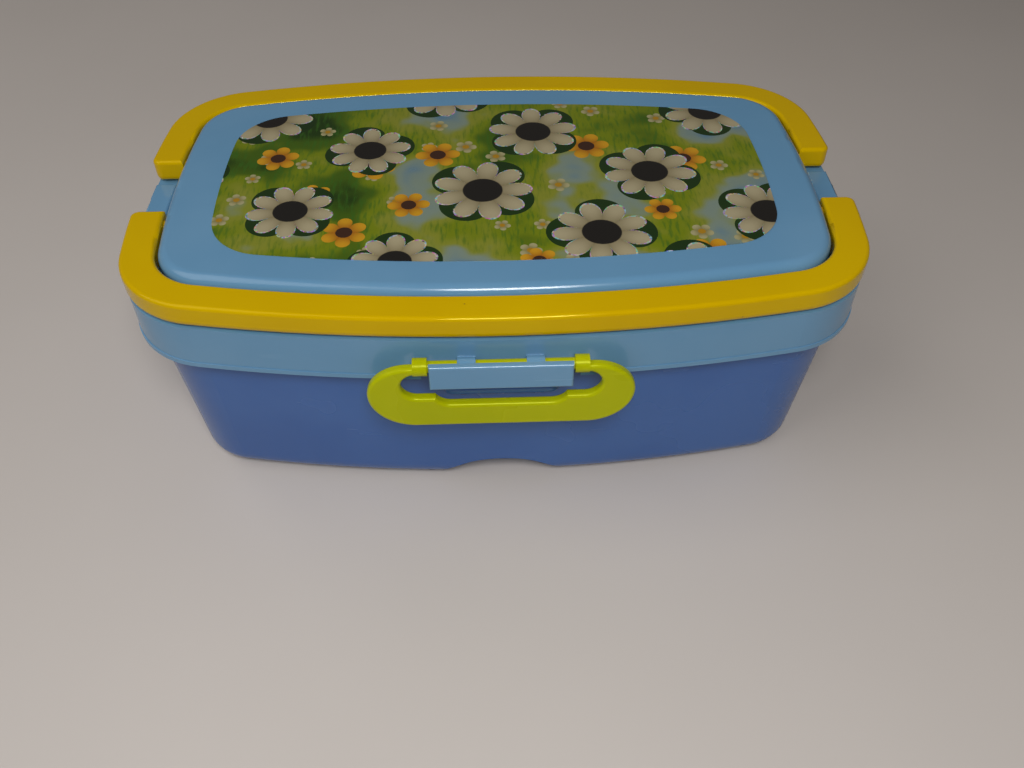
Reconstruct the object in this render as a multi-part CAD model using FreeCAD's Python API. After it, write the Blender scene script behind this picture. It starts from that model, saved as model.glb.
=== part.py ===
import FreeCAD, Part
import math
import os

# Bento lunch box with two swing handles and two latch loops, in mm.
# Origin under the middle of the base, X along the length, the front faces -Y, Z up.

# Plan outline: four slightly bowed sides and round corners
HALF_LENGTH = 110.0
HALF_WIDTH = 65.5
LONG_SIDE_R = 480.0
SHORT_SIDE_R = 335.0
CORNER_R = 27.0

# Named clearances
SEAT_GAP = 0.3
SLIDE_GAP = 0.5
PIN_GAP = 0.06
ROD_GAP = 0.08
DROP_IN_GAP = 1.0

# Tub: tapered wall, a shoulder and a collar that the lid's skirt covers
TUB_BASE_INSET = 9.8
TUB_SHOULDER_INSET = 4.2
TUB_SHOULDER_Z = 58.0
TUB_RIM_Z = 66.5
TUB_WALL = 2.2
TUB_FLOOR = 2.8
TUB_BASE_FILLET = 8.0
TUB_STEP = 2.0
FOOT_INSET = 26.0
FOOT_RECESS = 0.8
SCOOP_HALF = 32.5
SCOOP_HEIGHT = 10.5
SCOOP_RUN = 32.0
SCOOP_PROFILE = (
    (-1, 0), (-0.8, 0.06), (-0.6, 0.34), (-0.3, 0.85), (0, 1), (0.3, 0.85), (0.6, 0.34), (0.8, 0.06), (1, 0),
)

# Lid: deck, skirt with a lip, seal rib, pedestal for the cover and the handle bearings
DECK_THICK = 2.0
SEAL_HEIGHT = 2.5
SKIRT_INSET = 0.3
SKIRT_WALL = 1.8
SKIRT_DROP = 14.5
LIP_HEIGHT = 1.5
LIP_PROUD = 0.3
RIB_WALL = 1.4
RIB_DROP = 4.0
PEDESTAL_WALL = 2.0
BOSS_DEPTH = 3.4
BOSS_HALF = 4.5
SKIRT_NOTCH_HALF = 22.5
SKIRT_NOTCH_HEIGHT = 5.0
PAD_HALF = 11.4
PAD_INSET = 7.2
PAD_RISE = 1.2
PAD_FILLET = 0.8

# Handles: U shaped bars on the ledge, on round pins at their ends
HANDLE_WIDTH = 10.0
HANDLE_HEIGHT = 8.0
HANDLE_END_Y = 13.0
HANDLE_PIN_BACK = 3.4
HANDLE_TOP_FILLET = 1.2
HANDLE_LOW_FILLET = 2.6
HANDLE_END_FILLET = 2.6
PIN_R = 2.0
PIN_INTO_BAR = 4.0

# Cover on the lid and the printed film on it
COVER_GAP = 0.7
COVER_CORNER_MORE = 0.8
COVER_WALL = 1.8
COVER_TOP = 2.0
COVER_RISE = 9.5
COVER_FILLET = 3.0
FILM_HALF_LENGTH = 84.5
FILM_HALF_WIDTH = 42.7
FILM_CORNER_R = 18.0
FILM_THICK = 0.2

# Latch loop, its rod, and the bracket that holds the rod
LOOP_THICK = 3.2
LOOP_HALF = 37.6
LOOP_BOTTOM_HALF = 24.0
LOOP_HEIGHT = 21.7
LOOP_WIDEST_UP = 12.3
LOOP_SHOULDER_HALF = 25.5
LOOP_SHOULDER_DROP = 1.5
LOOP_BAR = 8.6
LOBE_HALF = 28.0
LOBE_BAR = 11.2
LOBE_HEIGHT = 9.2
LOOP_FILLET = 1.1
LOOP_SET_BACK = 0.15
NOTCH_HALF = 19.1
NOTCH_CORNER_R = 5.0
ROD_R = 1.7
BARREL_R = 2.6
BARREL_LENGTH = 4.0
ROD_DROP = 6.3
PLATE_HALF = 19.8
PLATE_THICK = 1.7
PLATE_HEIGHT = 8.6
PLATE_ABOVE_ROD = 2.9
PLATE_EDGE_R = 0.7
KNUCKLE_AT = 9.5
KNUCKLE_WIDTH = 5.0
KNUCKLE_BELOW_ROD = 2.5
KNUCKLE_WALL = 0.6
KNUCKLE_MOUTH = 2.9

# Catch tongue on the tub, seen through the loop
CATCH_HALF = 16.8
CATCH_THICK = 2.6
CATCH_ROOT = 1.2
CATCH_EDGE_R = 0.8
CATCH_CORNER_R = 3.0
GUSSET_THICK = 1.8
GUSSET_DROP = 8.0
GUSSET_PITCH = 11.0
GUSSET_BACK = 1.4

# Inner tray with two food compartments and a lane for the spoon and fork
TRAY_DEPTH = 25.0
TRAY_WALL = 1.5
TRAY_FLANGE = 1.6
TRAY_FILLET = 5.0
LANE_WIDTH = 38.0
CROSS_WALL_X = 22.0

# Spoon and fork
CUTLERY_LENGTH = 140.0
CUTLERY_THICK = 2.0
STEM_WIDTH = 9.0
SPOON_BOWL_LENGTH = 42.0
SPOON_BOWL_WIDTH = 27.0
SPOON_BOWL_R = 48.0
SPOON_BOWL_DEPTH = 4.5
FORK_HEAD_LENGTH = 44.0
FORK_HEAD_WIDTH = 21.0
FORK_SLOT_LENGTH = 26.0
FORK_SLOT_WIDTH = 3.0
FORK_TINES = 4
FORK_HEAD_R = 60.0

# Heights and places that follow from the sizes above
SEAL_Z = TUB_RIM_Z
DECK_UNDER = SEAL_Z + SEAL_HEIGHT
LEDGE_Z = DECK_UNDER + DECK_THICK
SKIRT_Z = LEDGE_Z - SKIRT_DROP
COLLAR_INSET = SKIRT_INSET + SKIRT_WALL + SLIDE_GAP
COLLAR_INNER = COLLAR_INSET + TUB_WALL
STEP_Z = TUB_SHOULDER_Z + TUB_STEP
RIB_INSET = COLLAR_INNER + DROP_IN_GAP
HANDLE_Z = LEDGE_Z + SEAT_GAP
HANDLE_PIN_Z = HANDLE_Z + HANDLE_HEIGHT / 2
HANDLE_PIN_Y = HANDLE_END_Y + HANDLE_PIN_BACK
COVER_INSET = HANDLE_WIDTH + COVER_GAP
COVER_Z = LEDGE_Z + SEAT_GAP
COVER_TOP_Z = LEDGE_Z + COVER_RISE
PEDESTAL_INSET = COVER_INSET + COVER_WALL + SEAT_GAP
PEDESTAL_Z = COVER_TOP_Z - COVER_TOP
SKIRT_FACE = HALF_WIDTH - SKIRT_INSET
ROD_Y = SKIRT_FACE + BARREL_R + SLIDE_GAP
ROD_Z = LEDGE_Z - ROD_DROP
PLATE_BACK = ROD_Y + ROD_R + SEAT_GAP
LOOP_BACK = ROD_Y + BARREL_R - LOOP_SET_BACK - LOOP_THICK
LOOP_Z = ROD_Z - LOOP_HEIGHT
CATCH_Z = LOOP_Z + LOOP_BAR + SEAT_GAP
TRAY_Z = STEP_Z - TRAY_DEPTH
EXTRA = 5.0

V = FreeCAD.Vector


def bowed_outline(half_x, half_y, long_r, short_r, corner_r, z):
    """Wire of four bowed sides joined by tangent corner arcs."""
    long_mid = V(0, half_y - long_r, 0)
    short_mid = V(half_x - short_r, 0, 0)
    reach_long = long_r - corner_r
    reach_short = short_r - corner_r
    apart = (short_mid - long_mid).Length
    along = (apart ** 2 + reach_long ** 2 - reach_short ** 2) / (2 * apart)
    off = math.sqrt(reach_long ** 2 - along ** 2)
    line = (short_mid - long_mid).normalize()
    side = V(-line.y, line.x, 0)
    options = [long_mid + line * along + side * off, long_mid + line * along - side * off]
    corner = max(options, key=lambda p: p.x + p.y)
    to_long = (corner - long_mid).normalize()
    to_short = (corner - short_mid).normalize()
    on_long = corner + to_long * corner_r
    on_short = corner + to_short * corner_r
    between = corner + (to_long + to_short).normalize() * corner_r

    def at(p, sx, sy):
        return V(p.x * sx, p.y * sy, z)

    edges = []
    for sx, sy in ((1, 1), (-1, 1), (-1, -1), (1, -1)):
        corner_points = [at(on_short, sx, sy), at(between, sx, sy), at(on_long, sx, sy)]
        if sx * sy > 0:
            straight = [at(on_long, sx, sy), V(0, half_y * sy, z), at(on_long, -sx, sy)]
        else:
            corner_points.reverse()
            straight = [at(on_short, sx, sy), V(half_x * sx, 0, z), at(on_short, sx, -sy)]
        edges.append(Part.Arc(*corner_points).toShape())
        edges.append(Part.Arc(*straight).toShape())
    return Part.Wire(edges)


def outline(inset, z, corner_more=0.0):
    """The box's plan outline, moved inwards by inset."""
    radii = (LONG_SIDE_R - inset, SHORT_SIDE_R - inset, CORNER_R + corner_more - inset)
    return bowed_outline(HALF_LENGTH - inset, HALF_WIDTH - inset, *radii, z)


def slab(inset, z0, z1, corner_more=0.0):
    return Part.Face(outline(inset, z0, corner_more)).extrude(V(0, 0, z1 - z0))


def ring(outer, inner, z0, z1, corner_more=0.0):
    return slab(outer, z0, z1, corner_more).cut(slab(inner, z0, z1, corner_more))


def taper(inset0, z0, inset1, z1):
    return Part.makeLoft([outline(inset0, z0), outline(inset1, z1)], True, True)


def wall_inset(z):
    """Inset of the tub's outer face at a height."""
    return TUB_BASE_INSET + (TUB_SHOULDER_INSET - TUB_BASE_INSET) * z / TUB_SHOULDER_Z


def box(x0, x1, y0, y1, z0, z1):
    return Part.makeBox(x1 - x0, y1 - y0, z1 - z0, V(x0, y0, z0))


def bar_x(radius, x0, x1, y, z):
    """Round bar along X."""
    return Part.makeCylinder(radius, x1 - x0, V(x0, y, z), V(1, 0, 0))


def flat_edges(shape, z):
    """Edges that lie at one height."""
    return [e for e in shape.Edges if abs(e.BoundBox.ZMin - z) < 1e-3 and e.BoundBox.ZLength < 1e-3]


def both_sides(shape):
    """A front detail and the same detail turned to the rear."""
    rear = shape.copy()
    rear.rotate(V(0, 0, 0), V(0, 0, 1), 180)
    return [shape, rear]


def scoop(more):
    """Low arched cut with soft feet that rises towards the wall, for lifting the tub with a thumb."""
    wall_y = HALF_WIDTH - TUB_BASE_INSET
    half = SCOOP_HALF + more
    rise = SCOOP_HEIGHT + more
    points = [V(half * x, -wall_y, rise * z) for x, z in SCOOP_PROFILE]
    curve = Part.BSplineCurve()
    curve.interpolate(points)
    below = V(0, 0, -EXTRA - SCOOP_HEIGHT)
    under = Part.makePolygon([points[-1], points[-1] + below, points[0] + below, points[0]])
    face = Part.Face(Part.Wire([curve.toShape()] + under.Edges))
    slope = V(0, SCOOP_RUN, -SCOOP_HEIGHT)
    face.translate(slope * -1)
    return face.extrude(slope * 2)


def catch():
    """Tongue on the tub's front wall with gussets under it."""
    root = HALF_WIDTH - wall_inset(CATCH_Z) - CATCH_ROOT
    tip = LOOP_BACK - SEAT_GAP
    tongue = box(-CATCH_HALF, CATCH_HALF, -tip, -root, CATCH_Z, CATCH_Z + CATCH_THICK)
    upright = [e for e in tongue.Edges if e.BoundBox.ZLength > 1 and e.BoundBox.YMax < -tip + 0.1]
    tongue = tongue.makeFillet(CATCH_CORNER_R, upright)
    rim = [e for e in tongue.Edges if e.BoundBox.ZLength < 1e-3 and e.BoundBox.YMax < -root - 1]
    tongue = tongue.makeFillet(CATCH_EDGE_R, rim)
    for step in (-1, 0, 1):
        x = step * GUSSET_PITCH - GUSSET_THICK / 2
        points = [
            V(x, -root, CATCH_Z + CATCH_THICK / 2),
            V(x, -tip + GUSSET_BACK, CATCH_Z + CATCH_THICK / 2),
            V(x, -tip + GUSSET_BACK, CATCH_Z),
            V(x, -root, CATCH_Z - GUSSET_DROP),
        ]
        gusset = Part.Face(Part.makePolygon(points + points[:1])).extrude(V(GUSSET_THICK, 0, 0))
        tongue = tongue.fuse(gusset)
    return tongue


def make_tub():
    outer = taper(TUB_BASE_INSET, 0, TUB_SHOULDER_INSET, TUB_SHOULDER_Z)
    outer = outer.makeFillet(TUB_BASE_FILLET, flat_edges(outer, 0))
    floor_inset = wall_inset(TUB_FLOOR) + TUB_WALL
    void = taper(floor_inset, TUB_FLOOR, wall_inset(STEP_Z) + TUB_WALL, STEP_Z)
    void = void.makeFillet(TUB_BASE_FILLET - TUB_WALL, flat_edges(void, TUB_FLOOR))
    for bump in both_sides(scoop(TUB_WALL)):
        void = void.cut(bump)
    tub = outer.fuse(slab(COLLAR_INSET, TUB_SHOULDER_Z, TUB_RIM_Z))
    for piece in both_sides(catch()):
        tub = tub.fuse(piece)
    tub = tub.cut(void).cut(slab(COLLAR_INNER, STEP_Z, TUB_RIM_Z))
    for cut in both_sides(scoop(0)):
        tub = tub.cut(cut)
    return tub.cut(slab(FOOT_INSET, 0, FOOT_RECESS))


def tray_inset(z):
    return wall_inset(z) + TUB_WALL + DROP_IN_GAP


def lane_wall_y():
    """Lane side of the tray's long wall."""
    return HALF_WIDTH - tray_inset(TRAY_Z) - TRAY_WALL - LANE_WIDTH


def make_tray():
    flange_top = STEP_Z + TRAY_FLANGE
    outer = taper(tray_inset(TRAY_Z), TRAY_Z, tray_inset(STEP_Z), STEP_Z)
    outer = outer.makeFillet(TRAY_FILLET, flat_edges(outer, TRAY_Z))
    outer = outer.fuse(slab(COLLAR_INNER + SLIDE_GAP, STEP_Z, flange_top))
    low = TRAY_Z + TRAY_WALL
    void = taper(tray_inset(low) + TRAY_WALL, low, tray_inset(flange_top) + TRAY_WALL, flange_top)
    void = void.makeFillet(TRAY_FILLET - TRAY_WALL, flat_edges(void, low))
    lane_y = lane_wall_y()
    long_wall = box(-HALF_LENGTH, HALF_LENGTH, lane_y - TRAY_WALL, lane_y, low, flange_top)
    cross_wall = box(CROSS_WALL_X, CROSS_WALL_X + TRAY_WALL, -HALF_WIDTH, lane_y, low, flange_top)
    return outer.cut(void.cut(long_wall).cut(cross_wall))


def bracket():
    """Plate in front of the latch rod, with two knuckles that snap over the rod."""
    top = ROD_Z + PLATE_ABOVE_ROD
    front = PLATE_BACK + PLATE_THICK
    plate = box(-PLATE_HALF, PLATE_HALF, -front, -PLATE_BACK, top - PLATE_HEIGHT, top)
    face = [e for e in plate.Edges if e.BoundBox.YMax < -front + 1e-3]
    shape = plate.makeFillet(PLATE_EDGE_R, face)
    low = ROD_Z - KNUCKLE_BELOW_ROD
    root = SKIRT_FACE - SKIRT_WALL / 2
    for side in (-1, 1):
        x0 = side * KNUCKLE_AT - KNUCKLE_WIDTH / 2
        x1 = x0 + KNUCKLE_WIDTH
        knuckle = box(x0, x1, -PLATE_BACK - PLATE_THICK / 2, -root, low, ROD_Z + KNUCKLE_WALL)
        knuckle = knuckle.fuse(bar_x(ROD_R + ROD_GAP + KNUCKLE_WALL, x0, x1, -ROD_Y, ROD_Z))
        knuckle = knuckle.cut(bar_x(ROD_R + ROD_GAP, x0, x1, -ROD_Y, ROD_Z))
        half_mouth = KNUCKLE_MOUTH / 2
        mouth = box(x0, x1, -ROD_Y - half_mouth, -ROD_Y + half_mouth, low - EXTRA, ROD_Z)
        shape = shape.fuse(knuckle.cut(mouth))
    return shape


def ledge_pad(side):
    """Low pad on the ledge between the ends of the two handles."""
    x0, x1 = sorted((side * (HALF_LENGTH - PAD_INSET), side * (HALF_LENGTH + EXTRA)))
    pad = slab(SKIRT_INSET, LEDGE_Z - DECK_THICK, LEDGE_Z + PAD_RISE)
    pad = pad.common(box(x0, x1, -PAD_HALF, PAD_HALF, LEDGE_Z - DECK_THICK, LEDGE_Z + PAD_RISE))
    return pad.makeFillet(PAD_FILLET, flat_edges(pad, LEDGE_Z + PAD_RISE))


def make_lid():
    skirt_inner = SKIRT_INSET + SKIRT_WALL
    lid = slab(SKIRT_INSET, SKIRT_Z, LEDGE_Z)
    lid = lid.fuse(slab(SKIRT_INSET - LIP_PROUD, SKIRT_Z, SKIRT_Z + LIP_HEIGHT))
    lid = lid.cut(slab(skirt_inner, SKIRT_Z, DECK_UNDER))
    rib_z = DECK_UNDER - RIB_DROP
    lid = lid.fuse(ring(RIB_INSET, RIB_INSET + RIB_WALL, rib_z, DECK_UNDER))
    for sx in (-1, 1):
        lid = lid.fuse(ledge_pad(sx))
    inner = PEDESTAL_INSET + PEDESTAL_WALL
    lid = lid.fuse(ring(PEDESTAL_INSET, inner, LEDGE_Z, PEDESTAL_Z, COVER_CORNER_MORE))
    boss_x1 = HALF_LENGTH - PEDESTAL_INSET - PEDESTAL_WALL / 2
    boss_x0 = HALF_LENGTH - inner - BOSS_DEPTH
    for sx in (-1, 1):
        for sy in (-1, 1):
            x0, x1 = sorted((sx * boss_x0, sx * boss_x1))
            y = sy * HANDLE_PIN_Y
            lid = lid.fuse(box(x0, x1, y - BOSS_HALF, y + BOSS_HALF, LEDGE_Z, PEDESTAL_Z))
    for sx in (-1, 1):
        for sy in (-1, 1):
            x0, x1 = sorted((sx * (boss_x0 - EXTRA), sx * (HALF_LENGTH - COVER_INSET)))
            lid = lid.cut(bar_x(PIN_R + PIN_GAP, x0, x1, sy * HANDLE_PIN_Y, HANDLE_PIN_Z))
    gap = box(
        -SKIRT_NOTCH_HALF, SKIRT_NOTCH_HALF, -SKIRT_FACE - EXTRA, -SKIRT_FACE + SKIRT_WALL + SLIDE_GAP,
        SKIRT_Z, SKIRT_Z + SKIRT_NOTCH_HEIGHT,
    )
    for cut in both_sides(gap):
        lid = lid.cut(cut)
    for piece in both_sides(bracket()):
        lid = lid.fuse(piece)
    return lid


def make_seal():
    outer = SKIRT_INSET + SKIRT_WALL + SEAT_GAP
    return ring(outer, RIB_INSET - SEAT_GAP, SEAL_Z, DECK_UNDER)


def make_cover():
    cover = slab(COVER_INSET, COVER_Z, COVER_TOP_Z, COVER_CORNER_MORE)
    cover = cover.makeFillet(COVER_FILLET, flat_edges(cover, COVER_TOP_Z))
    cover = cover.cut(slab(COVER_INSET + COVER_WALL, COVER_Z, PEDESTAL_Z, COVER_CORNER_MORE))
    half = PIN_R + SEAT_GAP
    inner = HALF_LENGTH - COVER_INSET - COVER_WALL - EXTRA
    for sx in (-1, 1):
        for sy in (-1, 1):
            x0, x1 = sorted((sx * inner, sx * HALF_LENGTH))
            y = sy * HANDLE_PIN_Y
            cover = cover.cut(box(x0, x1, y - half, y + half, COVER_Z, HANDLE_PIN_Z))
            cover = cover.cut(bar_x(half, x0, x1, y, HANDLE_PIN_Z))
    return cover


def make_film():
    move = HALF_LENGTH - FILM_HALF_LENGTH
    sizes = (FILM_HALF_LENGTH, FILM_HALF_WIDTH, LONG_SIDE_R - move, SHORT_SIDE_R - move, FILM_CORNER_R)
    return Part.Face(bowed_outline(*sizes, COVER_TOP_Z)).extrude(V(0, 0, FILM_THICK))


def is_outer_end(edge):
    """Whether an upright edge is at a handle's end, on the outside."""
    at = edge.CenterOfMass
    return abs(at.y + HANDLE_END_Y) < 1e-3 and abs(at.x) > HALF_LENGTH - HANDLE_WIDTH / 2


def make_handle():
    """Front handle: half of the outline's border, with round heels and pins at its ends."""
    top = HANDLE_Z + HANDLE_HEIGHT
    bar = ring(0, HANDLE_WIDTH, HANDLE_Z, top)
    reach = HALF_LENGTH + EXTRA
    bar = bar.common(box(-reach, reach, -reach, -HANDLE_END_Y, HANDLE_Z, top))
    outer_ends = [e for e in bar.Edges if e.BoundBox.ZLength > 1 and is_outer_end(e)]
    bar = bar.makeFillet(HANDLE_END_FILLET, outer_ends)
    bar = bar.makeFillet(HANDLE_TOP_FILLET, flat_edges(bar, top))
    low = [e for e in flat_edges(bar, HANDLE_Z) if e.BoundBox.YLength > 1e-3]
    bar = bar.makeFillet(HANDLE_LOW_FILLET, low)
    heel = box(-reach, reach, -HANDLE_PIN_Y, -HANDLE_END_Y + EXTRA, HANDLE_Z - EXTRA, HANDLE_PIN_Z)
    heel = heel.cut(bar_x(HANDLE_HEIGHT / 2, -reach, reach, -HANDLE_PIN_Y, HANDLE_PIN_Z))
    bar = bar.cut(heel)
    pin_end = HALF_LENGTH - PEDESTAL_INSET - PEDESTAL_WALL - BOSS_DEPTH
    pin_start = HALF_LENGTH - HANDLE_WIDTH + PIN_INTO_BAR
    for sx in (-1, 1):
        x0, x1 = sorted((sx * pin_end, sx * pin_start))
        bar = bar.fuse(bar_x(PIN_R, x0, x1, -HANDLE_PIN_Y, HANDLE_PIN_Z))
    return bar


def quarter(start, corner, end):
    """Quarter of an ellipse between two points, tangent to the lines to their corner."""
    curve = Part.BezierCurve()
    curve.setPoles([V(x, 0, z) for x, z in (start, corner, end)])
    curve.setWeight(2, math.sqrt(0.5))
    return curve.toShape()


def make_latch():
    """Front latch: a flat loop with a rod across its top and a barrel at each end of the rod."""
    widest = LOOP_Z + LOOP_WIDEST_UP
    top = ROD_Z + BARREL_R - LOOP_SHOULDER_DROP
    edges = []
    for side in (-1, 1):
        low = (side * LOOP_BOTTOM_HALF, LOOP_Z)
        wide = (side * LOOP_HALF, widest)
        high = (side * LOOP_SHOULDER_HALF, top)
        edges.append(quarter(low, (wide[0], low[1]), wide))
        edges.append(quarter(wide, (wide[0], high[1]), high))
    for half, z in ((LOOP_BOTTOM_HALF, LOOP_Z), (LOOP_SHOULDER_HALF, top)):
        edges.append(Part.makeLine(V(-half, 0, z), V(half, 0, z)))
    edges = Part.__sortEdges__(edges)
    loop = Part.Face(Part.Wire(edges)).extrude(V(0, -LOOP_THICK, 0))
    deep = LOOP_THICK + 2 * EXTRA
    lobe_z = LOOP_Z + LOBE_BAR
    opening = box(-LOBE_HALF, LOBE_HALF, -deep, deep, lobe_z, lobe_z + LOBE_HEIGHT)
    ends = [e for e in opening.Edges if e.BoundBox.YLength > 1]
    opening = opening.makeFillet(LOBE_HEIGHT / 2 - 0.05, ends)
    notch = box(-NOTCH_HALF, NOTCH_HALF, -deep, deep, LOOP_Z + LOOP_BAR, ROD_Z)
    low = [e for e in notch.Edges if e.BoundBox.YLength > 1 and e.BoundBox.ZMax < ROD_Z - 1]
    opening = opening.fuse(notch.makeFillet(NOTCH_CORNER_R, low))
    inner = PLATE_HALF + SLIDE_GAP
    opening = opening.fuse(box(-inner, inner, -deep, deep, lobe_z + LOBE_HEIGHT / 2, top + EXTRA))
    loop = loop.cut(opening.removeSplitter())
    loop = loop.makeFillet(LOOP_FILLET, [e for e in loop.Edges if e.BoundBox.YLength < 1e-3])
    loop.translate(V(0, -LOOP_BACK, 0))
    outer = inner + BARREL_LENGTH
    loop = loop.fuse(bar_x(ROD_R, -outer, outer, -ROD_Y, ROD_Z))
    for x0 in (-outer, inner):
        loop = loop.fuse(bar_x(BARREL_R, x0, x0 + BARREL_LENGTH, -ROD_Y, ROD_Z))
    return loop


def tapered_stem(head_x, end_x, z):
    """Flat stem of a spoon or fork, with a round end."""
    half = STEM_WIDTH / 2
    long_box = box(head_x, end_x, -half, half, z, z + CUTLERY_THICK)
    ends = [e for e in long_box.Edges if e.BoundBox.ZLength > 1 and e.BoundBox.XMin > end_x - 0.1]
    return long_box.makeFillet(half - 0.1, ends)


def curved_blank(plan, radius, depth):
    """A sheet of the cutlery's thickness, curved to a sphere and cut to a plan shape."""
    outer = Part.makeSphere(radius, V(0, 0, radius))
    inner = Part.makeSphere(radius - CUTLERY_THICK, V(0, 0, radius))
    blank = plan.extrude(V(0, 0, depth))
    return blank.common(outer).cut(inner)


def make_spoon():
    half = CUTLERY_LENGTH / 2
    bowl = Part.Ellipse(V(0, 0, 0), SPOON_BOWL_LENGTH / 2, SPOON_BOWL_WIDTH / 2).toShape()
    head = curved_blank(Part.Face(Part.Wire([bowl])), SPOON_BOWL_R, SPOON_BOWL_DEPTH)
    head.translate(V(-half + SPOON_BOWL_LENGTH / 2, 0, 0))
    stem_z = SPOON_BOWL_DEPTH - CUTLERY_THICK
    return head.fuse(tapered_stem(-half + SPOON_BOWL_LENGTH - EXTRA, half, stem_z))


def make_fork():
    half = CUTLERY_LENGTH / 2
    plan = box(
        -FORK_HEAD_LENGTH / 2, FORK_HEAD_LENGTH / 2, -FORK_HEAD_WIDTH / 2, FORK_HEAD_WIDTH / 2,
        0, SPOON_BOWL_DEPTH,
    )
    rear = [e for e in plan.Edges if e.BoundBox.ZLength > 1 and e.BoundBox.XMin > 0]
    plan = plan.makeFillet(FORK_HEAD_WIDTH / 2 - 0.5, rear)
    outer = Part.makeSphere(FORK_HEAD_R, V(0, 0, FORK_HEAD_R))
    head = plan.common(outer).cut(Part.makeSphere(FORK_HEAD_R - CUTLERY_THICK, V(0, 0, FORK_HEAD_R)))
    pitch = FORK_HEAD_WIDTH / FORK_TINES
    for step in range(1, FORK_TINES):
        y = -FORK_HEAD_WIDTH / 2 + step * pitch
        start = -FORK_HEAD_LENGTH / 2 - EXTRA
        end = -FORK_HEAD_LENGTH / 2 + FORK_SLOT_LENGTH
        half_slot = FORK_SLOT_WIDTH / 2
        head = head.cut(box(start, end, y - half_slot, y + half_slot, -EXTRA, FORK_HEAD_R))
    head.translate(V(-half + FORK_HEAD_LENGTH / 2, 0, 0))
    stem_z = SPOON_BOWL_DEPTH - CUTLERY_THICK
    return head.fuse(tapered_stem(-half + FORK_HEAD_LENGTH - EXTRA, half, stem_z))


def make_cutlery():
    """Spoon in the tray's lane with the fork on it, head to tail."""
    y = lane_wall_y() + DROP_IN_GAP + SPOON_BOWL_WIDTH / 2
    z = TRAY_Z + TRAY_WALL + SEAT_GAP
    spoon = make_spoon()
    spoon.translate(V(0, y, z))
    fork = make_fork()
    fork.rotate(V(0, 0, 0), V(0, 0, 1), 180)
    fork.translate(V(0, y, z + SPOON_BOWL_DEPTH + SEAT_GAP))
    return spoon, fork


front_handle, rear_handle = both_sides(make_handle())
front_latch, rear_latch = both_sides(make_latch())
spoon, fork = make_cutlery()

nodes = {
    "tub": make_tub(),
    "inner_tray": make_tray(),
    "spoon": spoon,
    "fork": fork,
    "lid": make_lid(),
    "lid_seal": make_seal(),
    "top_cover": make_cover(),
    "top_sticker": make_film(),
    "front_handle": front_handle,
    "rear_handle": rear_handle,
    "front_latch": front_latch,
    "rear_latch": rear_latch,
}

os.makedirs("parts", exist_ok=True)
for name, shape in nodes.items():
    shape.removeSplitter().exportStep("parts/" + name + ".step")
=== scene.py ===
import bpy
from mathutils import Matrix, Vector

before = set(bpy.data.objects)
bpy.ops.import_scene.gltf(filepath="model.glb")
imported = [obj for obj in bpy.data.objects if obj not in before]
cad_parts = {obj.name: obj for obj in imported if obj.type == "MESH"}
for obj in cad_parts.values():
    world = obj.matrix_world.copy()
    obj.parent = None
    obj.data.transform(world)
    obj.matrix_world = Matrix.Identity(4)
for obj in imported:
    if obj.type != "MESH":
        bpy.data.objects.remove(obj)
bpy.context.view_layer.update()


# Tub: one glossy royal blue injection moulding that stands on its foot ring, with a tapered wall,
# a catch tongue on each long side and a thumb scoop under each. Like the other mouldings it has
# faint scuffs and small dark specks from handling.
TUB_BLUE = (0.032, 0.106, 0.335, 1.0)
TUB_PALE = (0.052, 0.145, 0.397, 1.0)
TUB_SPECK = (0.012, 0.026, 0.090, 1.0)


def add_node(tree, kind, values=None, **settings):
    """Adds a node, sets its properties, and fills or links its inputs by name or number."""
    made = tree.nodes.new(kind)
    for key, value in settings.items():
        setattr(made, key, value)
    for key, value in (values or {}).items():
        if isinstance(value, bpy.types.NodeSocket):
            tree.links.new(value, made.inputs[key])
        else:
            made.inputs[key].default_value = value
    return made


def arithmetic(tree, operation, first, second=0.0, third=0.0, clamp=False):
    values = {0: first, 1: second, 2: third}
    made = add_node(tree, "ShaderNodeMath", values, operation=operation, use_clamp=clamp)
    return made.outputs[0]


def mix_colour(tree, share, first, second):
    values = {0: share, 6: first, 7: second}
    return add_node(tree, "ShaderNodeMix", values, data_type="RGBA").outputs[2]


def ramp_between(tree, value, low, high):
    """0 below low, 1 above high, smooth between them."""
    values = {0: value, 1: low, 2: high, 3: 0.0, 4: 1.0}
    made = add_node(tree, "ShaderNodeMapRange", values, interpolation_type="SMOOTHSTEP")
    return made.outputs[0]


def noise(tree, where, scale, detail):
    """Soft noise between 0 and 1, with about scale waves in a metre."""
    values = {"Vector": where, "Scale": scale, "Detail": detail}
    return add_node(tree, "ShaderNodeTexNoise", values).outputs[0]


def new_group(name, inputs, outputs):
    """Empty shader node group with named sockets, and its input and output nodes."""
    tree = bpy.data.node_groups.new(name, "ShaderNodeTree")
    for label, kind in inputs:
        tree.interface.new_socket(label, in_out="INPUT", socket_type="NodeSocket" + kind)
    for label, kind in outputs:
        tree.interface.new_socket(label, in_out="OUTPUT", socket_type="NodeSocket" + kind)
    given = tree.nodes.new("NodeGroupInput").outputs
    result = tree.nodes.new("NodeGroupOutput").inputs
    return tree, given, result


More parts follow.
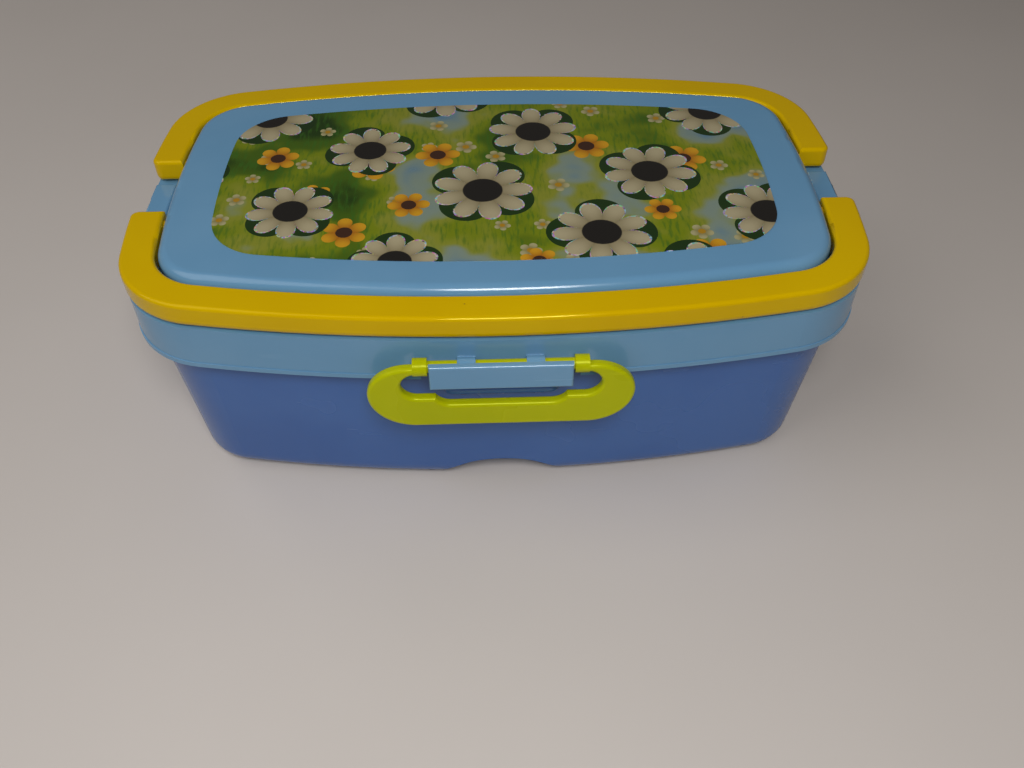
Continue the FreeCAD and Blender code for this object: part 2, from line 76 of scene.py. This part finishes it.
def build_moulded_skin():
    """Colour drift, specks, scuffs and a faint orange peel, as on glossy moulded plastic."""
    inputs = [
        ("Coordinates", "Vector"), ("Colour", "Color"), ("Pale Colour", "Color"),
        ("Speck Colour", "Color"), ("Speck Share", "Float"), ("Gloss Roughness", "Float"),
        ("Scuffs", "Float"),
    ]
    outputs = [("Colour", "Color"), ("Roughness", "Float"), ("Height", "Float")]
    tree, given, result = new_group("moulded_skin", inputs, outputs)
    where = given["Coordinates"]

    drift_scale, drift_range = 19.0, (0.38, 0.68)
    drift_colour, drift_roughness = 0.55, 0.06
    drift = ramp_between(tree, noise(tree, where, drift_scale, detail=3.0), *drift_range)
    paler = arithmetic(tree, "MULTIPLY", drift, drift_colour)
    colour = mix_colour(tree, paler, given["Colour"], given["Pale Colour"])

    # Specks, one in a share of the cells, with reach and blur as shares of a cell
    speck_scale, speck_reach, speck_spread, speck_blur = 105.0, 0.012, 0.034, 0.016
    speck_colour, speck_roughness, speck_height = 0.7, 0.35, 0.08
    cells = add_node(tree, "ShaderNodeTexVoronoi", {"Vector": where, "Scale": speck_scale}).outputs
    lot = add_node(tree, "ShaderNodeSeparateColor", {0: cells["Color"]}).outputs
    reach = arithmetic(tree, "MULTIPLY_ADD", lot[1], speck_spread, speck_reach)
    inside = arithmetic(tree, "SUBTRACT", reach, cells["Distance"])
    chosen = arithmetic(tree, "LESS_THAN", lot[0], given["Speck Share"])
    speck = arithmetic(tree, "MULTIPLY", ramp_between(tree, inside, 0.0, speck_blur), chosen)

    # Scuffs, fine lines in two directions, in patches
    scuff_directions, scuff_tilt = ((0.5, 9.0), (-0.9, 13.0)), 0.6
    scuff_fineness, scuff_range = 260.0, (0.69, 0.74)
    scuff_colour, scuff_roughness, scuff_height = 0.6, 0.22, -0.06
    patch_scale, patch_range = 31.0, (0.46, 0.64)
    lines = []
    for angle, coarseness in scuff_directions:
        turned = {
            0: where, 2: (angle, angle * scuff_tilt, angle),
            3: (coarseness, scuff_fineness, scuff_fineness),
        }
        lengthwise = add_node(tree, "ShaderNodeMapping", turned).outputs[0]
        grain = noise(tree, lengthwise, 1.0, detail=2.0)
        lines.append(ramp_between(tree, grain, *scuff_range))
    patches = ramp_between(tree, noise(tree, where, patch_scale, detail=2.0), *patch_range)
    scuff = arithmetic(tree, "MULTIPLY", arithmetic(tree, "MAXIMUM", *lines), patches)
    scuff = arithmetic(tree, "MULTIPLY", scuff, given["Scuffs"])
    scuff_share = arithmetic(tree, "MULTIPLY", scuff, scuff_colour)
    colour = mix_colour(tree, scuff_share, colour, given["Pale Colour"])
    speck_share = arithmetic(tree, "MULTIPLY", speck, speck_colour)
    colour = mix_colour(tree, speck_share, colour, given["Speck Colour"])
    rough = arithmetic(tree, "MULTIPLY_ADD", drift, drift_roughness, given["Gloss Roughness"])
    rough = arithmetic(tree, "MULTIPLY_ADD", scuff, scuff_roughness, rough)
    rough = arithmetic(tree, "MULTIPLY_ADD", speck, speck_roughness, rough, clamp=True)

    # Relief, a fine peel over broad shallow sinks
    peel_scale, peel_height, sink_scale = 420.0, 0.05, 34.0
    peel = noise(tree, where, peel_scale, detail=1.0)
    sink = noise(tree, where, sink_scale, detail=1.0)
    height = arithmetic(tree, "MULTIPLY_ADD", peel, peel_height, sink)
    height = arithmetic(tree, "MULTIPLY_ADD", scuff, scuff_height, height)
    height = arithmetic(tree, "MULTIPLY_ADD", speck, speck_height, height)

    for label, socket in (("Colour", colour), ("Roughness", rough), ("Height", height)):
        tree.links.new(socket, result[label])
    return tree


def start_material(name):
    """Material with a Principled shader, and the object's own coordinates."""
    material = bpy.data.materials.new(name)
    material.use_nodes = True
    tree = material.node_tree
    shader = tree.nodes["Principled BSDF"]
    where = tree.nodes.new("ShaderNodeTexCoord").outputs["Object"]
    return material, tree, shader, where


def moulded_plastic(name, colour, pale, speck, share=0.10, gloss=0.22, scuffs=0.6, dent=0.0003):
    """Plastic with the moulded skin: share of specks, roughness, scuffs and dents in metres."""
    bump_strength, plastic_ior = 0.35, 1.49
    material, tree, shader, where = start_material(name)
    values = {
        "Coordinates": where, "Colour": colour, "Pale Colour": pale, "Speck Colour": speck,
        "Speck Share": share, "Gloss Roughness": gloss, "Scuffs": scuffs,
    }
    skin = add_node(tree, "ShaderNodeGroup", values, node_tree=moulded_skin).outputs
    relief = {"Strength": bump_strength, "Distance": dent, "Height": skin["Height"]}
    bump = add_node(tree, "ShaderNodeBump", relief)
    tree.links.new(skin["Colour"], shader.inputs["Base Color"])
    tree.links.new(skin["Roughness"], shader.inputs["Roughness"])
    tree.links.new(bump.outputs[0], shader.inputs["Normal"])
    shader.inputs["IOR"].default_value = plastic_ior
    return material, shader


def dress(node, material):
    """Gives a carried-over CAD node its material."""
    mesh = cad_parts[node].data
    mesh.materials.clear()
    mesh.materials.append(material)


moulded_skin = build_moulded_skin()
tub_plastic, _ = moulded_plastic("royal_blue_plastic", TUB_BLUE, TUB_PALE, TUB_SPECK)
dress("tub", tub_plastic)


# Inner tray: a thin pale moulding that hangs by its flange on the tub's step, with a cross
# wall and a lane for the cutlery. It is satin, because food trays are lightly textured.
TRAY_WHITE = (0.62, 0.72, 0.80, 1.0)
TRAY_PALE = (0.70, 0.79, 0.85, 1.0)
TRAY_SPECK = (0.30, 0.34, 0.38, 1.0)
tray_plastic, _ = moulded_plastic(
    "pale_tray_plastic", TRAY_WHITE, TRAY_PALE, TRAY_SPECK, share=0.03, gloss=0.38, scuffs=0.4
)
dress("inner_tray", tray_plastic)


# Spoon and fork: small yellow mouldings of much the same plastic as the handles. They lie loose,
# one on the other and head to tail, in the tray's lane.
CUTLERY_YELLOW = (0.80, 0.47, 0.010, 1.0)
CUTLERY_PALE = (0.86, 0.58, 0.030, 1.0)
CUTLERY_SPECK = (0.30, 0.14, 0.01, 1.0)
cutlery_plastic, _ = moulded_plastic(
    "yellow_cutlery_plastic", CUTLERY_YELLOW, CUTLERY_PALE, CUTLERY_SPECK, share=0.04, gloss=0.26
)
dress("spoon", cutlery_plastic)
dress("fork", cutlery_plastic)


# Lid: a glossy light blue moulding that sits over the tub's collar, with a ledge for the handles,
# a skirt with a lip, and a bracket with two snap knuckles for each latch loop.
LID_BLUE = (0.115, 0.261, 0.418, 1.0)
LID_PALE = (0.149, 0.300, 0.456, 1.0)
LID_SPECK = (0.030, 0.060, 0.090, 1.0)
lid_plastic, _ = moulded_plastic(
    "light_blue_plastic", LID_BLUE, LID_PALE, LID_SPECK, share=0.12, gloss=0.15, dent=0.00014
)
dress("lid", lid_plastic)


# Sealing ring: off white silicone, moulded in one piece and pushed into the groove under the lid
# between its rib and its skirt. It is matt, a little dusty, and lets some light through.
SEAL_WHITE = (0.70, 0.72, 0.70, 1.0)
SEAL_PALE = (0.78, 0.79, 0.77, 1.0)
SEAL_DUST = (0.40, 0.40, 0.38, 1.0)
seal_rubber, seal_shader = moulded_plastic(
    "off_white_silicone", SEAL_WHITE, SEAL_PALE, SEAL_DUST, share=0.05, gloss=0.55, scuffs=0.2
)
seal_shader.inputs["Subsurface Weight"].default_value = 0.25
seal_shader.inputs["Subsurface Radius"].default_value = (0.002, 0.002, 0.002)
dress("lid_seal", seal_rubber)


# Handles: two glossy yellow U shaped bars, moulded in one with their pins. They lie on the lid's
# ledge and swing up on the pins, which turn in the lid's bearings.
HANDLE_YELLOW = (0.558, 0.354, 0.000, 1.0)
HANDLE_PALE = (0.605, 0.400, 0.000, 1.0)
HANDLE_SPECK = (0.120, 0.070, 0.010, 1.0)
HANDLE_SHINE = (1.0, 0.86, 0.14, 1.0)
handle_plastic, handle_shader = moulded_plastic(
    "yellow_plastic", HANDLE_YELLOW, HANDLE_PALE, HANDLE_SPECK, gloss=0.10
)
handle_shader.inputs["Specular IOR Level"].default_value = 0.42
handle_shader.inputs["Specular Tint"].default_value = HANDLE_SHINE
dress("front_handle", handle_plastic)
dress("rear_handle", handle_plastic)


# Raised cover: a shell of the same light blue plastic as the lid, with a soft edge all round. It
# is pressed on the lid's pedestal for good and keeps the handle pins in their bearings.
dress("top_cover", lid_plastic)


# Printed film: a laminated label stuck on the cover, with scattered flowers on a ground of soft
# leaf green and sky blue patches, and a glitter line round the large flowers.
FILM_GROUND = [
    (0.00, (0.010, 0.034, 0.002, 1.0)),
    (0.22, (0.045, 0.095, 0.003, 1.0)),
    (0.44, (0.150, 0.190, 0.003, 1.0)),
    (0.60, (0.200, 0.215, 0.020, 1.0)),
    (0.72, (0.175, 0.225, 0.180, 1.0)),
    (0.94, (0.070, 0.165, 0.270, 1.0)),
]
GROUND_SCALE = 26.0
GROUND_GAIN = 2.3
GROUND_START = -0.68
GROUND_SLOPE = 1.6
BLADE_STRETCH = (900.0, 170.0, 1.0)
BLADE_RANGE = (0.45, 0.70)
BLADE_GREEN = (0.030, 0.110, 0.008, 1.0)
BLADE_SHARE = 0.6
GRASS_END = (0.50, 0.68)
SMALL_CREAM = {
    "Spacing": 0.0115, "Radius": 0.0036, "Petals": 5.0, "Jitter": 0.34, "Share": 0.36,
    "Heart": 0.30, "Petal Colour": (0.34, 0.31, 0.16, 1.0),
    "Petal Shade": (0.20, 0.17, 0.06, 1.0), "Heart Colour": (0.34, 0.18, 0.01, 1.0),
}
ORANGE = {
    "Spacing": 0.0220, "Radius": 0.0076, "Petals": 6.0, "Jitter": 0.30, "Share": 0.45,
    "Heart": 0.34, "Petal Colour": (0.52, 0.26, 0.01, 1.0),
    "Petal Shade": (0.30, 0.10, 0.005, 1.0), "Heart Colour": (0.04, 0.015, 0.008, 1.0),
}
DARK_LEAVES = {
    "Spacing": 0.0400, "Radius": 0.0172, "Petals": 4.0, "Jitter": 0.16, "Share": 1.00,
    "Heart": 0.02, "Petal Colour": (0.008, 0.028, 0.004, 1.0),
    "Petal Shade": (0.018, 0.048, 0.005, 1.0), "Heart Colour": (0.008, 0.024, 0.004, 1.0),
}
LARGE_CREAM = {
    "Spacing": 0.0400, "Radius": 0.0148, "Petals": 9.0, "Jitter": 0.16, "Share": 1.00,
    "Heart": 0.40, "Petal Colour": (0.36, 0.31, 0.19, 1.0),
    "Petal Shade": (0.19, 0.155, 0.080, 1.0), "Heart Colour": (0.010, 0.009, 0.008, 1.0),
}
# Each kind stands on its own grid, which is shifted and turned on the film, in printing order.
BLOSSOM_LAYERS = [
    (SMALL_CREAM, (0.003, 0.002, 0.0), 0.3),
    (ORANGE, (0.011, 0.004, 0.0), -0.5),
    (DARK_LEAVES, (0.004, 0.013, 0.0), 0.6),
    (LARGE_CREAM, (0.004, 0.013, 0.0), 0.6),
]
GLITTER_SCALE = 1500.0
GLITTER_SATURATION = 0.7
GLITTER_BRIGHTNESS = 1.3
GLITTER_METAL = 0.6
FILM_ROUGHNESS = 0.22
FILM_ROUGHNESS_DRIFT = 0.08


def build_scattered_blossoms():
    """Flowers of one kind, one in a share of the cells of a jittered grid."""
    inputs = [
        ("Coordinates", "Vector"), ("Spacing", "Float"), ("Radius", "Float"), ("Petals", "Float"),
        ("Jitter", "Float"), ("Share", "Float"), ("Heart", "Float"), ("Petal Colour", "Color"),
        ("Petal Shade", "Color"), ("Heart Colour", "Color"),
    ]
    outputs = [("Colour", "Color"), ("Mask", "Float"), ("Rim", "Float")]
    tree, given, result = new_group("scattered_blossoms", inputs, outputs)

    per_cell = arithmetic(tree, "DIVIDE", 1.0, given["Spacing"])
    scaled = {0: given["Coordinates"], "Scale": per_cell}
    where = add_node(tree, "ShaderNodeVectorMath", scaled, operation="SCALE").outputs[0]
    grid = {"Vector": where, "Scale": 1.0, "Randomness": given["Jitter"]}
    cells = add_node(tree, "ShaderNodeTexVoronoi", grid, voronoi_dimensions="2D").outputs
    lot = add_node(tree, "ShaderNodeSeparateColor", {0: cells["Color"]}).outputs
    apart = {0: where, 1: cells["Position"]}
    local = add_node(tree, "ShaderNodeVectorMath", apart, operation="SUBTRACT").outputs[0]
    axis = add_node(tree, "ShaderNodeSeparateXYZ", {0: local}).outputs
    away = arithmetic(tree, "MULTIPLY", cells["Distance"], given["Spacing"])

    # Outline: petals round the middle, with its blur and glitter line in metres
    full_turn, petal_bluntness, petal_length, size_spread = 6.283, 0.45, 0.55, 0.30
    edge_blur, glitter_offset, glitter_range = 0.00012, 0.00025, (0.00022, 0.00040)
    angle = arithmetic(tree, "ARCTAN2", axis[1], axis[0])
    angle = arithmetic(tree, "MULTIPLY_ADD", lot[1], full_turn, angle)
    waves = arithmetic(tree, "MULTIPLY", angle, given["Petals"])
    wave = arithmetic(tree, "SINE", arithmetic(tree, "MULTIPLY", waves, 0.5))
    petal = arithmetic(tree, "POWER", arithmetic(tree, "ABSOLUTE", wave), petal_bluntness)
    size = arithmetic(tree, "MULTIPLY_ADD", lot[2], size_spread, 1.0 - size_spread)
    size = arithmetic(tree, "MULTIPLY", given["Radius"], size)
    edge = arithmetic(tree, "MULTIPLY_ADD", petal, petal_length, 1.0 - petal_length)
    edge = arithmetic(tree, "MULTIPLY", size, edge)
    inside = arithmetic(tree, "SUBTRACT", edge, away)
    chosen = arithmetic(tree, "LESS_THAN", lot[0], given["Share"])
    mask = arithmetic(tree, "MULTIPLY", ramp_between(tree, inside, 0.0, edge_blur), chosen)
    from_rim = arithmetic(tree, "ADD", inside, glitter_offset)
    from_rim = ramp_between(tree, arithmetic(tree, "ABSOLUTE", from_rim), *glitter_range)
    rim = arithmetic(tree, "MULTIPLY", arithmetic(tree, "SUBTRACT", 1.0, from_rim), chosen)

    # Colour: petals darker towards the middle and in their folds, and a round heart
    petal_light_range, heart_blur = (0.15, 0.85), 0.03
    outwards = arithmetic(tree, "DIVIDE", away, size)
    light = ramp_between(tree, outwards, *petal_light_range)
    light = arithmetic(tree, "MULTIPLY", petal, light)
    colour = mix_colour(tree, light, given["Petal Shade"], given["Petal Colour"])
    heart_end = arithmetic(tree, "ADD", given["Heart"], heart_blur)
    past_heart = ramp_between(tree, outwards, given["Heart"], heart_end)
    heart = arithmetic(tree, "SUBTRACT", 1.0, past_heart)
    colour = mix_colour(tree, heart, colour, given["Heart Colour"])

    for label, socket in (("Colour", colour), ("Mask", mask), ("Rim", rim)):
        tree.links.new(socket, result[label])
    return tree


scattered_blossoms = build_scattered_blossoms()
printed_film, film_tree, film_shader, on_film = start_material("printed_film")
film_axis = add_node(film_tree, "ShaderNodeSeparateXYZ", {0: on_film}).outputs
swell = noise(film_tree, on_film, GROUND_SCALE, detail=3.0)
level = arithmetic(film_tree, "MULTIPLY_ADD", film_axis[0], GROUND_SLOPE, GROUND_START)
level = arithmetic(film_tree, "MULTIPLY_ADD", swell, GROUND_GAIN, level)
ground = add_node(film_tree, "ShaderNodeValToRGB", {0: level})
ground.color_ramp.interpolation = "EASE"
while len(ground.color_ramp.elements) < len(FILM_GROUND):
    ground.color_ramp.elements.new(1.0)
for stop, (place, colour) in zip(ground.color_ramp.elements, FILM_GROUND):
    stop.position = place
    stop.color = colour
blades = add_node(film_tree, "ShaderNodeMapping", {0: on_film, 3: BLADE_STRETCH}).outputs[0]
grass = ramp_between(film_tree, noise(film_tree, blades, 1.0, detail=3.0), *BLADE_RANGE)
past_grass = ramp_between(film_tree, level, *GRASS_END)
on_grass = arithmetic(film_tree, "SUBTRACT", 1.0, past_grass)
on_grass = arithmetic(film_tree, "MULTIPLY", on_grass, BLADE_SHARE)
tuft = arithmetic(film_tree, "MULTIPLY", grass, on_grass)
print_colour = mix_colour(film_tree, tuft, ground.outputs[0], BLADE_GREEN)
for kind, shift, turn in BLOSSOM_LAYERS:
    moved = {0: on_film, 1: shift, 2: (0.0, 0.0, turn)}
    spot = add_node(film_tree, "ShaderNodeMapping", moved).outputs[0]
    values = {"Coordinates": spot, **kind}
    bloom = add_node(film_tree, "ShaderNodeGroup", values, node_tree=scattered_blossoms).outputs
    print_colour = mix_colour(film_tree, bloom["Mask"], print_colour, bloom["Colour"])
glitter = bloom["Rim"]
flakes = add_node(film_tree, "ShaderNodeTexVoronoi", {"Vector": on_film, "Scale": GLITTER_SCALE})
tint = {
    "Saturation": GLITTER_SATURATION, "Value": GLITTER_BRIGHTNESS,
    "Color": flakes.outputs["Color"],
}
sparkle = add_node(film_tree, "ShaderNodeHueSaturation", tint).outputs[0]
print_colour = mix_colour(film_tree, glitter, print_colour, sparkle)
film_rough = arithmetic(film_tree, "MULTIPLY_ADD", swell, FILM_ROUGHNESS_DRIFT, FILM_ROUGHNESS)
film_metal = arithmetic(film_tree, "MULTIPLY", glitter, GLITTER_METAL)
film_tree.links.new(print_colour, film_shader.inputs["Base Color"])
film_tree.links.new(film_rough, film_shader.inputs["Roughness"])
film_tree.links.new(film_metal, film_shader.inputs["Metallic"])
film_shader.inputs["Coat Weight"].default_value = 0.35
film_shader.inputs["Coat Roughness"].default_value = 0.14
dress("top_sticker", printed_film)


# Latch loops: slightly translucent lime mouldings, one on each long side. Each has a rod that
# snaps into the lid's two knuckles, and its loop swings down over the tub's catch tongue.
LATCH_LIME = (0.393, 0.420, 0.001, 1.0)
LATCH_PALE = (0.445, 0.468, 0.003, 1.0)
LATCH_SPECK = (0.100, 0.080, 0.020, 1.0)
LATCH_SHINE = (0.92, 1.0, 0.14, 1.0)
latch_plastic, latch_shader = moulded_plastic(
    "lime_plastic", LATCH_LIME, LATCH_PALE, LATCH_SPECK, gloss=0.24
)
latch_shader.inputs["Specular IOR Level"].default_value = 0.36
latch_shader.inputs["Specular Tint"].default_value = LATCH_SHINE
latch_shader.inputs["Subsurface Weight"].default_value = 0.45
latch_shader.inputs["Subsurface Radius"].default_value = (0.004, 0.005, 0.001)
dress("front_latch", latch_plastic)
dress("rear_latch", latch_plastic)


# Studio: a pale paper floor that fades into a plain grey backdrop. A small soft lamp hangs over
# the front, a larger one over the left, and weak fills are above and behind.
FLOOR_HALF = 3.0
FADE_START = 0.50
FADE_END = 0.95
PAPER_DARK = (0.525, 0.480, 0.445, 1.0)
PAPER_LIGHT = (0.585, 0.535, 0.497, 1.0)
FIBRE_SCALE = 7.0
BOX_FRONT = (0, -0.05, 0.04)
BOX_MIDDLE = (0, 0, 0.04)
AIR_COLOUR = (1.0, 0.90, 0.80, 1.0)
AIR_STRENGTH = 0.080
BACKDROP_GREY = (0.165, 0.155, 0.146, 1.0)
floor_mesh = bpy.data.meshes.new("paper_floor")
corners = [
    (-FLOOR_HALF, -FLOOR_HALF, 0), (FLOOR_HALF, -FLOOR_HALF, 0),
    (FLOOR_HALF, FLOOR_HALF, 0), (-FLOOR_HALF, FLOOR_HALF, 0),
]
floor_mesh.from_pydata(corners, [], [(0, 1, 2, 3)])
paper, paper_tree, paper_shader, on_paper = start_material("pale_paper")
fibre = noise(paper_tree, on_paper, FIBRE_SCALE, detail=4.0)
paper_colour = mix_colour(paper_tree, fibre, PAPER_DARK, PAPER_LIGHT)
from_middle = add_node(paper_tree, "ShaderNodeVectorMath", {0: on_paper}, operation="LENGTH")
faded = ramp_between(paper_tree, from_middle.outputs["Value"], FADE_START, FADE_END)
paper_alpha = arithmetic(paper_tree, "SUBTRACT", 1.0, faded)
paper_tree.links.new(paper_colour, paper_shader.inputs["Base Color"])
paper_tree.links.new(paper_alpha, paper_shader.inputs["Alpha"])
paper_shader.inputs["Roughness"].default_value = 0.6
floor_mesh.materials.append(paper)
floor = bpy.data.objects.new("paper_floor", floor_mesh)
bpy.context.scene.collection.objects.link(floor)


def soft_lamp(name, size, power, place, target, mirrored=True):
    """Square lamp that the camera doesn't see, in metres and watts, mirrored in gloss or not."""
    lamp = bpy.data.lights.new(name, "AREA")
    lamp.size = size
    lamp.energy = power
    holder = bpy.data.objects.new(name, lamp)
    holder.location = place
    aim = Vector(target) - Vector(place)
    holder.rotation_euler = aim.to_track_quat("-Z", "Y").to_euler()
    holder.visible_camera = False
    holder.visible_glossy = mirrored
    bpy.context.scene.collection.objects.link(holder)


soft_lamp("front_lamp", 0.15, 1.85, (0.02, -0.38, 0.46), BOX_FRONT)
soft_lamp("left_soft", 0.70, 2.50, (-0.52, -0.25, 0.70), BOX_FRONT)
soft_lamp("top_fill", 0.45, 0.30, (-0.10, 0.62, 0.98), BOX_MIDDLE, mirrored=False)
soft_lamp("rear_fill", 0.50, 2.0, (-0.88, 0.78, 0.36), BOX_MIDDLE, mirrored=False)
world = bpy.data.worlds.new("studio_air")
world.use_nodes = True
world_tree = world.node_tree
air = world_tree.nodes["Background"]
air.inputs[0].default_value = AIR_COLOUR
air.inputs[1].default_value = AIR_STRENGTH
backdrop = add_node(world_tree, "ShaderNodeBackground", {0: BACKDROP_GREY})
ray = add_node(world_tree, "ShaderNodeLightPath").outputs["Is Camera Ray"]
either = {0: ray, 1: air.outputs[0], 2: backdrop.outputs[0]}
seen = add_node(world_tree, "ShaderNodeMixShader", either)
world_tree.links.new(seen.outputs[0], world_tree.nodes["World Output"].inputs["Surface"])
bpy.context.scene.world = world
bpy.context.scene.view_settings.view_transform = "Standard"


# Camera: a fairly wide lens above the front of the box, at the photograph's own place and
# angle, which were found from the outlines of the box.
SENSOR_WIDTH = 36.0
FOCAL_LENGTH = 33.5
CAMERA_PLACE = (-0.00372, -0.25405, 0.24847)
CAMERA_RIGHT = (0.9994, -0.0360, 0.0)
CAMERA_FORWARD = (0.0251, 0.6963, -0.7174)
lens = bpy.data.cameras.new("photo_camera")
lens.sensor_width = SENSOR_WIDTH
lens.lens = FOCAL_LENGTH
camera = bpy.data.objects.new("photo_camera", lens)
forward = Vector(CAMERA_FORWARD).normalized()
right = Vector(CAMERA_RIGHT)
right = (right - forward * right.dot(forward)).normalized()
up = right.cross(forward)
camera_turn = Matrix((right, up, -forward)).transposed().to_4x4()
camera.matrix_world = Matrix.Translation(CAMERA_PLACE) @ camera_turn
bpy.context.scene.collection.objects.link(camera)
bpy.context.scene.camera = camera
